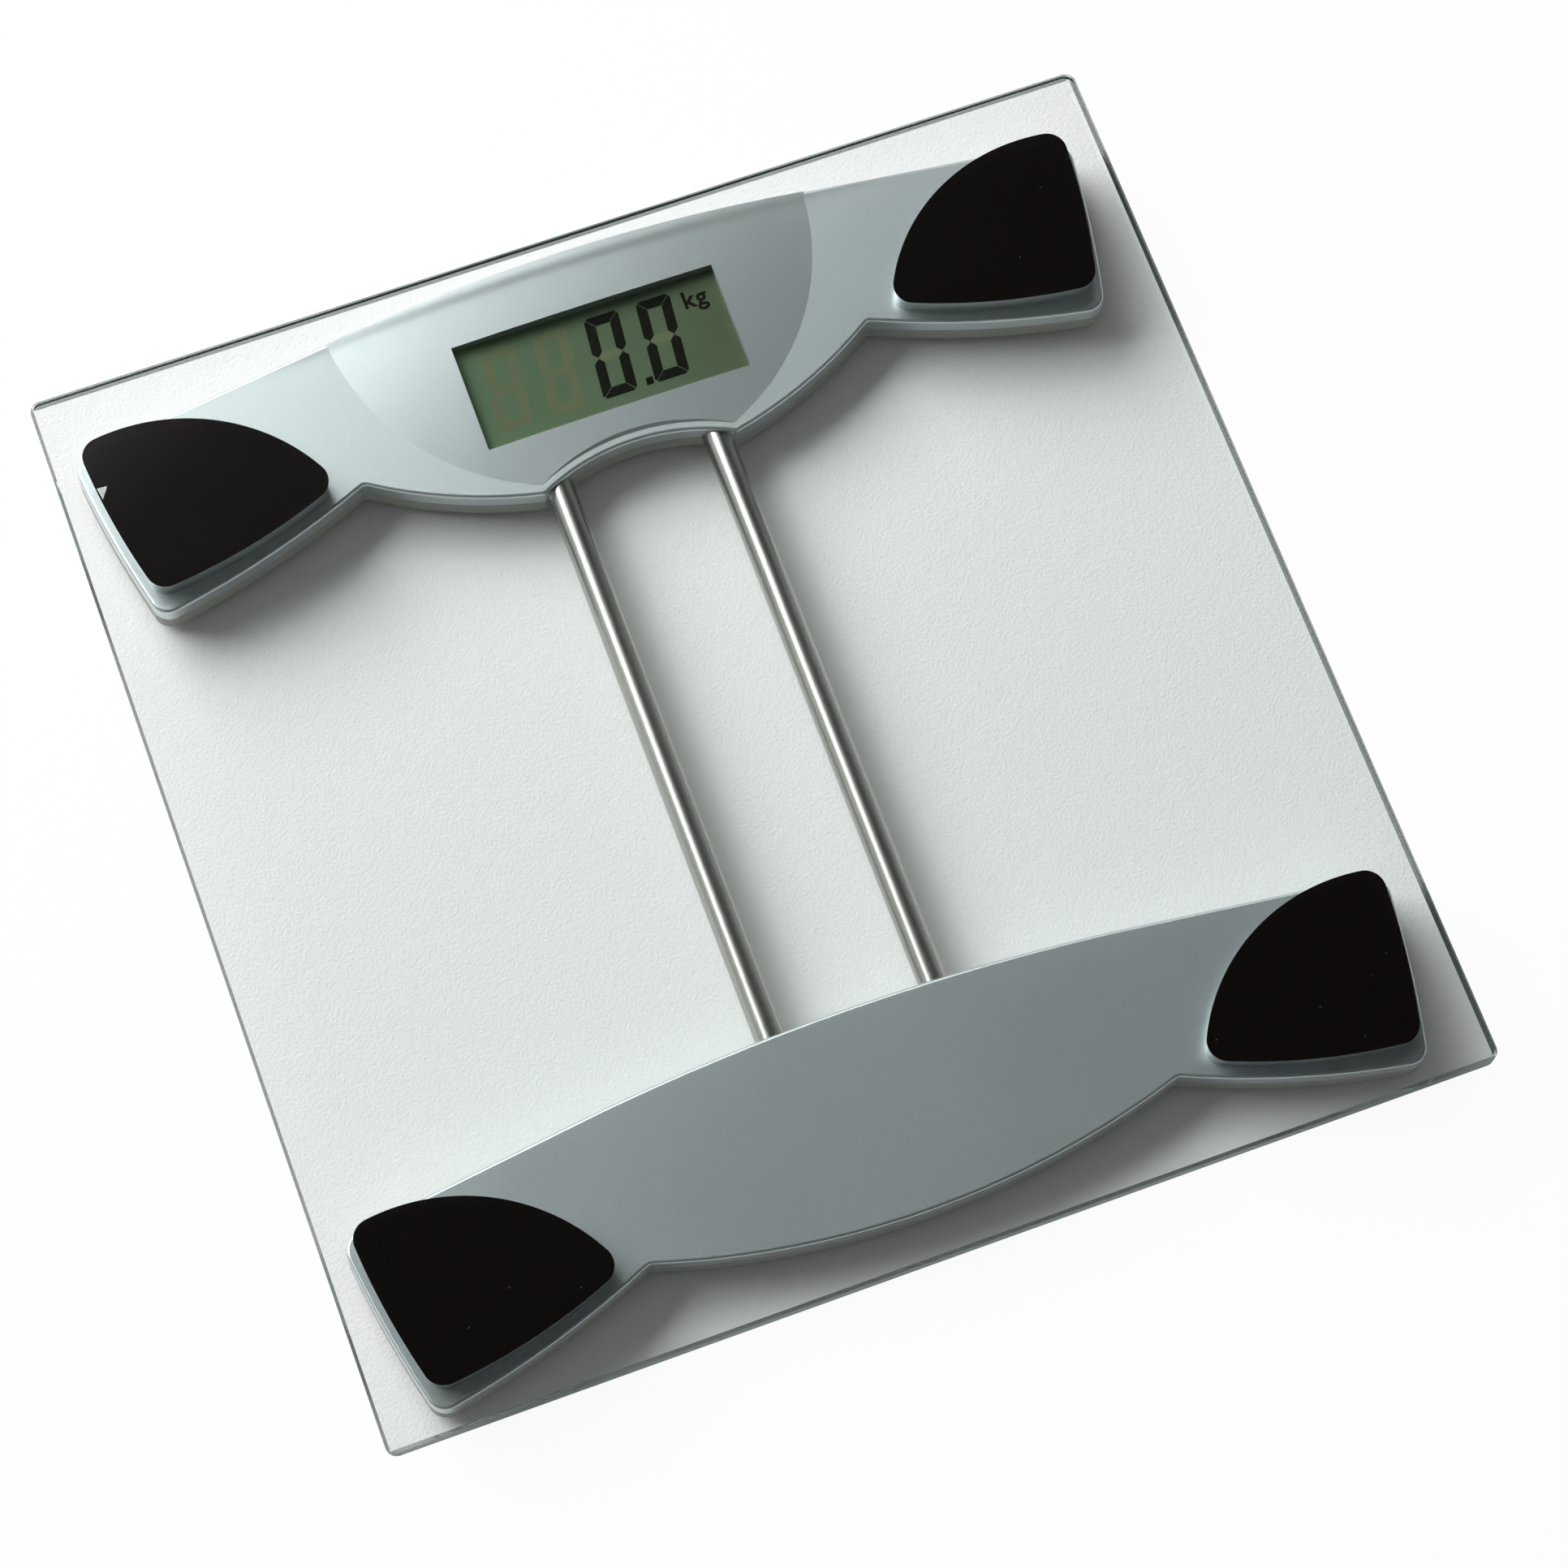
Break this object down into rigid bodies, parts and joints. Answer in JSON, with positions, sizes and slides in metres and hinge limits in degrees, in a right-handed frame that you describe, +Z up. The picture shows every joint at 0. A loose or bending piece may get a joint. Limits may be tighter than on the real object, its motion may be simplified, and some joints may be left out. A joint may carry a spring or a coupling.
{
  "type": "bathroom scale",
  "caption": "Flat digital bathroom scale: square clear glass platform on raised silver housings joined by steel tubes, with an LCD window at the back.",
  "frame": {"origin": "on the floor under the middle of the platform", "axes": "+Z up through the platform, +Y towards the display at the back, +X to the right of a person standing on it and facing the display"},
  "size_m": [0.3, 0.3, 0.026],
  "materials": {
    "tempered_glass": "clear, polished",
    "black_pad": "black print and adhesive",
    "silver_paint": "fine metallic silver paint on plastic",
    "grey_plastic": "warm grey, satin",
    "brushed_tube": "brushed lengthwise",
    "cell_steel": "stamped, zinc plated",
    "white_silicone": "soft potting",
    "black_plastic": "moulded",
    "sole_rubber": "matte",
    "board_green": "solder mask",
    "lcd_glass": "grey-green reflective display",
    "connector_rubber": "layered rubber",
    "cell_nickel": "nickel plated",
    "screw_steel": "zinc plated",
    "wire_jacket": "grey sheath"
  },
  "bodies": {
    "scale_body": {"back_base": "grey_plastic", "back_cover": "silver_paint", "board_screws": "screw_steel", "case_screws_back": "screw_steel", "case_screws_front": "screw_steel", "circuit_board": "board_green", "coin_cell": "cell_nickel", "contact_negative": "cell_nickel", "contact_positive": "cell_nickel", "foot_back_left": "black_plastic", "foot_back_right": "black_plastic", "foot_front_left": "black_plastic", "foot_front_right": "black_plastic", "front_base": "grey_plastic", "front_cover": "silver_paint", "gauge_back_left": "white_silicone", "gauge_back_right": "white_silicone", "gauge_front_left": "white_silicone", "gauge_front_right": "white_silicone", "glass_platform": "tempered_glass", "lcd_connector": "connector_rubber", "lcd_panel": "lcd_glass", "load_cell_back_left": "cell_steel", "load_cell_back_right": "cell_steel", "load_cell_front_left": "cell_steel", "load_cell_front_right": "cell_steel", "pad_back_left": "black_pad", "pad_back_right": "black_pad", "pad_front_left": "black_pad", "pad_front_right": "black_pad", "pedestal_back_left": "silver_paint", "pedestal_back_right": "silver_paint", "pedestal_front_left": "silver_paint", "pedestal_front_right": "silver_paint", "pedestal_screws_back": "screw_steel", "pedestal_screws_front": "screw_steel", "processor": "black_plastic", "sole_back_left": "sole_rubber", "sole_back_right": "sole_rubber", "sole_front_left": "sole_rubber", "sole_front_right": "sole_rubber", "tube_left": "brushed_tube", "tube_right": "brushed_tube", "unit_switch": "black_plastic", "wire_back_left": "wire_jacket", "wire_back_right": "wire_jacket", "wire_front_left": "wire_jacket", "wire_front_right": "wire_jacket"},
    "battery_door": {"battery_door": "grey_plastic"},
    "unit_button": {"unit_button": "black_plastic", "switch_plunger": "black_plastic"}
  },
  "joints": [
    {"name": "battery_door_turn", "type": "hinge", "parent": "scale_body", "child": "battery_door", "pos_m": [-0.069, 0.1224, 0.003], "axis": [0, 0, 1], "range_deg": [0, 60]},
    {"name": "unit_button_press", "type": "slide", "parent": "scale_body", "child": "unit_button", "axis": [0, 0, 1], "range_m": [0, 0.0004], "stiffness_N_per_m": 1500, "springref_m": -0.0002}
  ]
}
